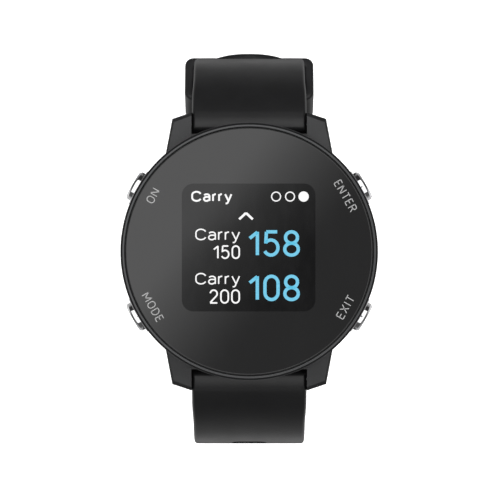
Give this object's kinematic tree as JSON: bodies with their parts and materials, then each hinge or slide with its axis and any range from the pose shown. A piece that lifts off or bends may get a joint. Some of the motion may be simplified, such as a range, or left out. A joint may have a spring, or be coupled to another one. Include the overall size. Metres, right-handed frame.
{
  "type": "golf gps watch",
  "caption": "Round golf GPS watch with a flat black lens, metal bezel, push buttons at its sides and a slotted rubber strap fastened in a loop by a tongue buckle and keeper.",
  "frame": {"origin": "on the floor under the middle of the dial, on the flat back of the strap loop", "axes": "+Z the way the dial faces, +Y to 12 o'clock, +X to 3 o'clock"},
  "size_m": [0.045, 0.0721, 0.0627],
  "materials": {
    "case_resin": "fine matte moulded resin",
    "bezel_metal": "satin grey coated metal",
    "lens_glass": "polished, dark tinted",
    "strap_rubber": "soft matte silicone",
    "seal_rubber": "matte",
    "polished_steel": "polished stainless steel",
    "dark_steel": "dark coated stainless steel",
    "contact_gold": "gold plated",
    "display_glass": "gloss, lit from behind",
    "inner_plastic": "matte",
    "circuit_board": "green solder mask",
    "antenna_ceramic": "satin ceramic",
    "battery_foil": "satin foil"
  },
  "bodies": {
    "case": {"mid_case": "case_resin", "case_back": "case_resin", "bezel_ring": "bezel_metal", "front_lens": "lens_glass", "lens_gasket": "seal_rubber", "case_back_gasket": "seal_rubber", "case_screw_1": "polished_steel", "case_screw_2": "polished_steel", "case_screw_3": "polished_steel", "case_screw_4": "polished_steel", "button_up_sleeve": "polished_steel", "button_select_sleeve": "polished_steel", "button_down_sleeve": "polished_steel", "button_back_sleeve": "polished_steel", "shield_can": "polished_steel", "charge_contact_1": "contact_gold", "charge_contact_2": "contact_gold", "charge_contact_3": "contact_gold", "charge_contact_4": "contact_gold", "display_panel": "display_glass", "display_carrier": "inner_plastic", "switch_up": "inner_plastic", "switch_select": "inner_plastic", "switch_down": "inner_plastic", "switch_back": "inner_plastic", "main_board": "circuit_board", "gps_antenna": "antenna_ceramic", "battery": "battery_foil"},
    "button_up": {"button_up": "polished_steel", "button_up_seal": "seal_rubber", "button_up_clip": "dark_steel"},
    "button_select": {"button_select": "polished_steel", "button_select_seal": "seal_rubber", "button_select_clip": "dark_steel"},
    "button_down": {"button_down": "polished_steel", "button_down_seal": "seal_rubber", "button_down_clip": "dark_steel"},
    "button_back": {"button_back": "polished_steel", "button_back_seal": "seal_rubber", "button_back_clip": "dark_steel"},
    "strap_upper": {"strap_upper": "strap_rubber", "spring_bar_upper": "polished_steel", "buckle_bar": "dark_steel"},
    "strap_lower": {"strap_lower": "strap_rubber", "spring_bar_lower": "polished_steel"},
    "release_upper": {"release_pin_upper": "polished_steel"},
    "release_lower": {"release_pin_lower": "polished_steel"},
    "keeper": {"strap_keeper": "strap_rubber"},
    "buckle": {"buckle_frame": "dark_steel"},
    "tongue": {"buckle_tongue": "dark_steel"}
  },
  "joints": [
    {"name": "press_up", "type": "slide", "parent": "case", "child": "button_up", "axis": [0.866, -0.5, 0], "range_m": [0, 0.0006], "stiffness_N_per_m": 1500, "springref_m": -0.0005},
    {"name": "press_select", "type": "slide", "parent": "case", "child": "button_select", "axis": [-0.866, -0.5, 0], "range_m": [0, 0.0006], "stiffness_N_per_m": 1500, "springref_m": -0.0005},
    {"name": "press_down", "type": "slide", "parent": "case", "child": "button_down", "axis": [0.866, 0.5, 0], "range_m": [0, 0.0006], "stiffness_N_per_m": 1500, "springref_m": -0.0005},
    {"name": "press_back", "type": "slide", "parent": "case", "child": "button_back", "axis": [-0.866, 0.5, 0], "range_m": [0, 0.0006], "stiffness_N_per_m": 1500, "springref_m": -0.0005},
    {"name": "strap_upper_swing", "type": "hinge", "parent": "case", "child": "strap_upper", "pos_m": [0, 0.0225, 0.0532], "axis": [1, 0, 0], "range_deg": [0, 60]},
    {"name": "strap_lower_swing", "type": "hinge", "parent": "case", "child": "strap_lower", "pos_m": [0, -0.0225, 0.0532], "axis": [-1, 0, 0], "range_deg": [0, 60], "deforming": ["strap_lower"]},
    {"name": "release_upper_slide", "type": "slide", "parent": "strap_upper", "child": "release_upper", "axis": [-1, 0, 0], "range_m": [0, 0.0014], "stiffness_N_per_m": 300, "springref_m": -0.002},
    {"name": "release_lower_slide", "type": "slide", "parent": "strap_lower", "child": "release_lower", "axis": [-1, 0, 0], "range_m": [0, 0.0014], "stiffness_N_per_m": 300, "springref_m": -0.002},
    {"name": "keeper_slide", "type": "hinge", "parent": "strap_upper", "child": "keeper", "pos_m": [0, -0.0225, 0.0532], "axis": [-1, 0, 0], "range_deg": [-1.8, 3]},
    {"name": "buckle_swing", "type": "hinge", "parent": "strap_upper", "child": "buckle", "pos_m": [0, 0.02259, 0.01331], "axis": [1, 0, 0], "range_deg": [0, 10]},
    {"name": "tongue_swing", "type": "hinge", "parent": "buckle", "child": "tongue", "pos_m": [0, 0.02259, 0.01331], "axis": [1, 0, 0], "range_deg": [0, 8]}
  ]
}
